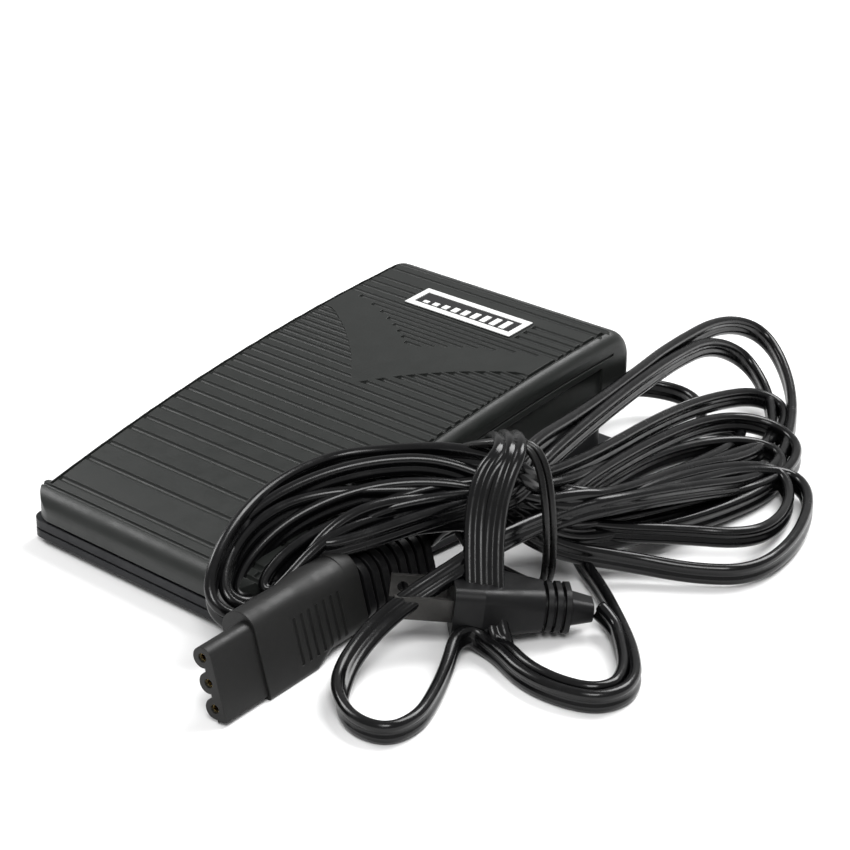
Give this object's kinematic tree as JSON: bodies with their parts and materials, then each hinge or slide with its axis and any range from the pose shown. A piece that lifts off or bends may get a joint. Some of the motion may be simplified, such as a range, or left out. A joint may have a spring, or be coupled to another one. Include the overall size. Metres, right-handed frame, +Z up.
{
  "type": "sewing machine foot pedal",
  "caption": "Foot pedal with a ribbed, arched treadle hinged at the heel over a shallow tray, flat black cords in a tied bundle, a flat connector and a mains plug.",
  "frame": {"origin": "on the floor, centred under the pedal (cords left out of the measure)", "axes": "+X across the pedal towards the cord bundle, +Y from heel to toe, +Z up"},
  "size_m": [0.1954, 0.2841, 0.0484],
  "materials": {
    "treadle_plastic": "satin moulded, very dark grey with a trace of green",
    "base_plastic": "fine texture, near black",
    "badge_field": "smooth black",
    "badge_white": "printed white",
    "foot_rubber": "soft black",
    "bright_steel": "turned",
    "spring_steel": "drawn wire",
    "zinc_steel": "zinc plated",
    "sink_aluminium": "bare sheet",
    "board_laminate": "brown paper laminate",
    "chip_black": "moulded epoxy",
    "film_yellow": "dipped yellow",
    "sleeve_blue": "shrink sleeve",
    "ferrite_grey": "sintered",
    "copper_wire": "lacquered copper",
    "resistor_beige": "lacquered",
    "diode_glass": "small blue body",
    "pot_case": "pressed case",
    "lever_nylon": "natural nylon",
    "block_white": "white moulding",
    "brass_metal": "plain brass",
    "blade_nickel": "nickel plated brass",
    "lead_brown": "insulated lead",
    "lead_blue": "insulated lead",
    "cord_black": "glossy flexible sheath",
    "boot_black": "matt flexible",
    "connector_black": "moulded, matt",
    "plug_black": "moulded, satin",
    "tie_black": "coated wire"
  },
  "bodies": {
    "base": {"base_tray": "base_plastic", "rubber_feet": "foot_rubber", "hinge_pin": "bright_steel", "pin_clips": "bright_steel", "return_springs": "spring_steel", "circuit_board": "board_laminate", "board_screws": "zinc_steel", "heat_sink": "sink_aluminium", "triac": "chip_black", "film_capacitor": "film_yellow", "timing_capacitor": "sleeve_blue", "choke_core": "ferrite_grey", "choke_winding": "copper_wire", "resistors": "resistor_beige", "trigger_diode": "diode_glass", "control_bracket": "zinc_steel", "bracket_screws": "zinc_steel", "potentiometer": "pot_case", "stop_bumpers": "foot_rubber", "cord_tail": "cord_black", "cord_clamp": "base_plastic", "clamp_screws": "zinc_steel", "terminal_block": "block_white", "terminal_screws": "brass_metal", "inner_leads": "lead_brown", "board_leads": "lead_blue", "cord_grommet": "boot_black", "pedal_cord": "cord_black", "cord_hank": "cord_black", "cord_wrap": "cord_black", "wire_tie": "tie_black", "connector_nose": "connector_black", "connector_contacts": "brass_metal", "connector_body": "connector_black", "connector_boot": "boot_black", "loop_cord": "cord_black", "plug_cord": "cord_black", "plug_body": "plug_black", "plug_blades": "blade_nickel", "plug_boot": "plug_black"},
    "treadle": {"treadle_cover": "treadle_plastic", "badge_plate": "badge_field", "badge_frame": "badge_white", "badge_marks": "badge_white", "travel_hooks": "treadle_plastic"},
    "lever": {"control_shaft": "bright_steel", "speed_lever": "lever_nylon", "lever_tip": "lever_nylon"}
  },
  "joints": [
    {"name": "treadle_hinge", "type": "hinge", "parent": "base", "child": "treadle", "pos_m": [0, -0.07025, 0.0095], "axis": [-1, 0, 0], "range_deg": [0, 5], "stiffness_Nm_per_rad": 6, "springref_deg": -8.59, "deforming": ["return_springs"]},
    {"name": "lever_turn", "type": "hinge", "parent": "base", "child": "lever", "pos_m": [0, 0.00875, 0.017], "axis": [-1, 0, 0], "range_deg": [0, 21]}
  ],
  "couplings": [
    {"joint": "lever_turn", "follows": "treadle_hinge", "ratio": 4.1}
  ]
}
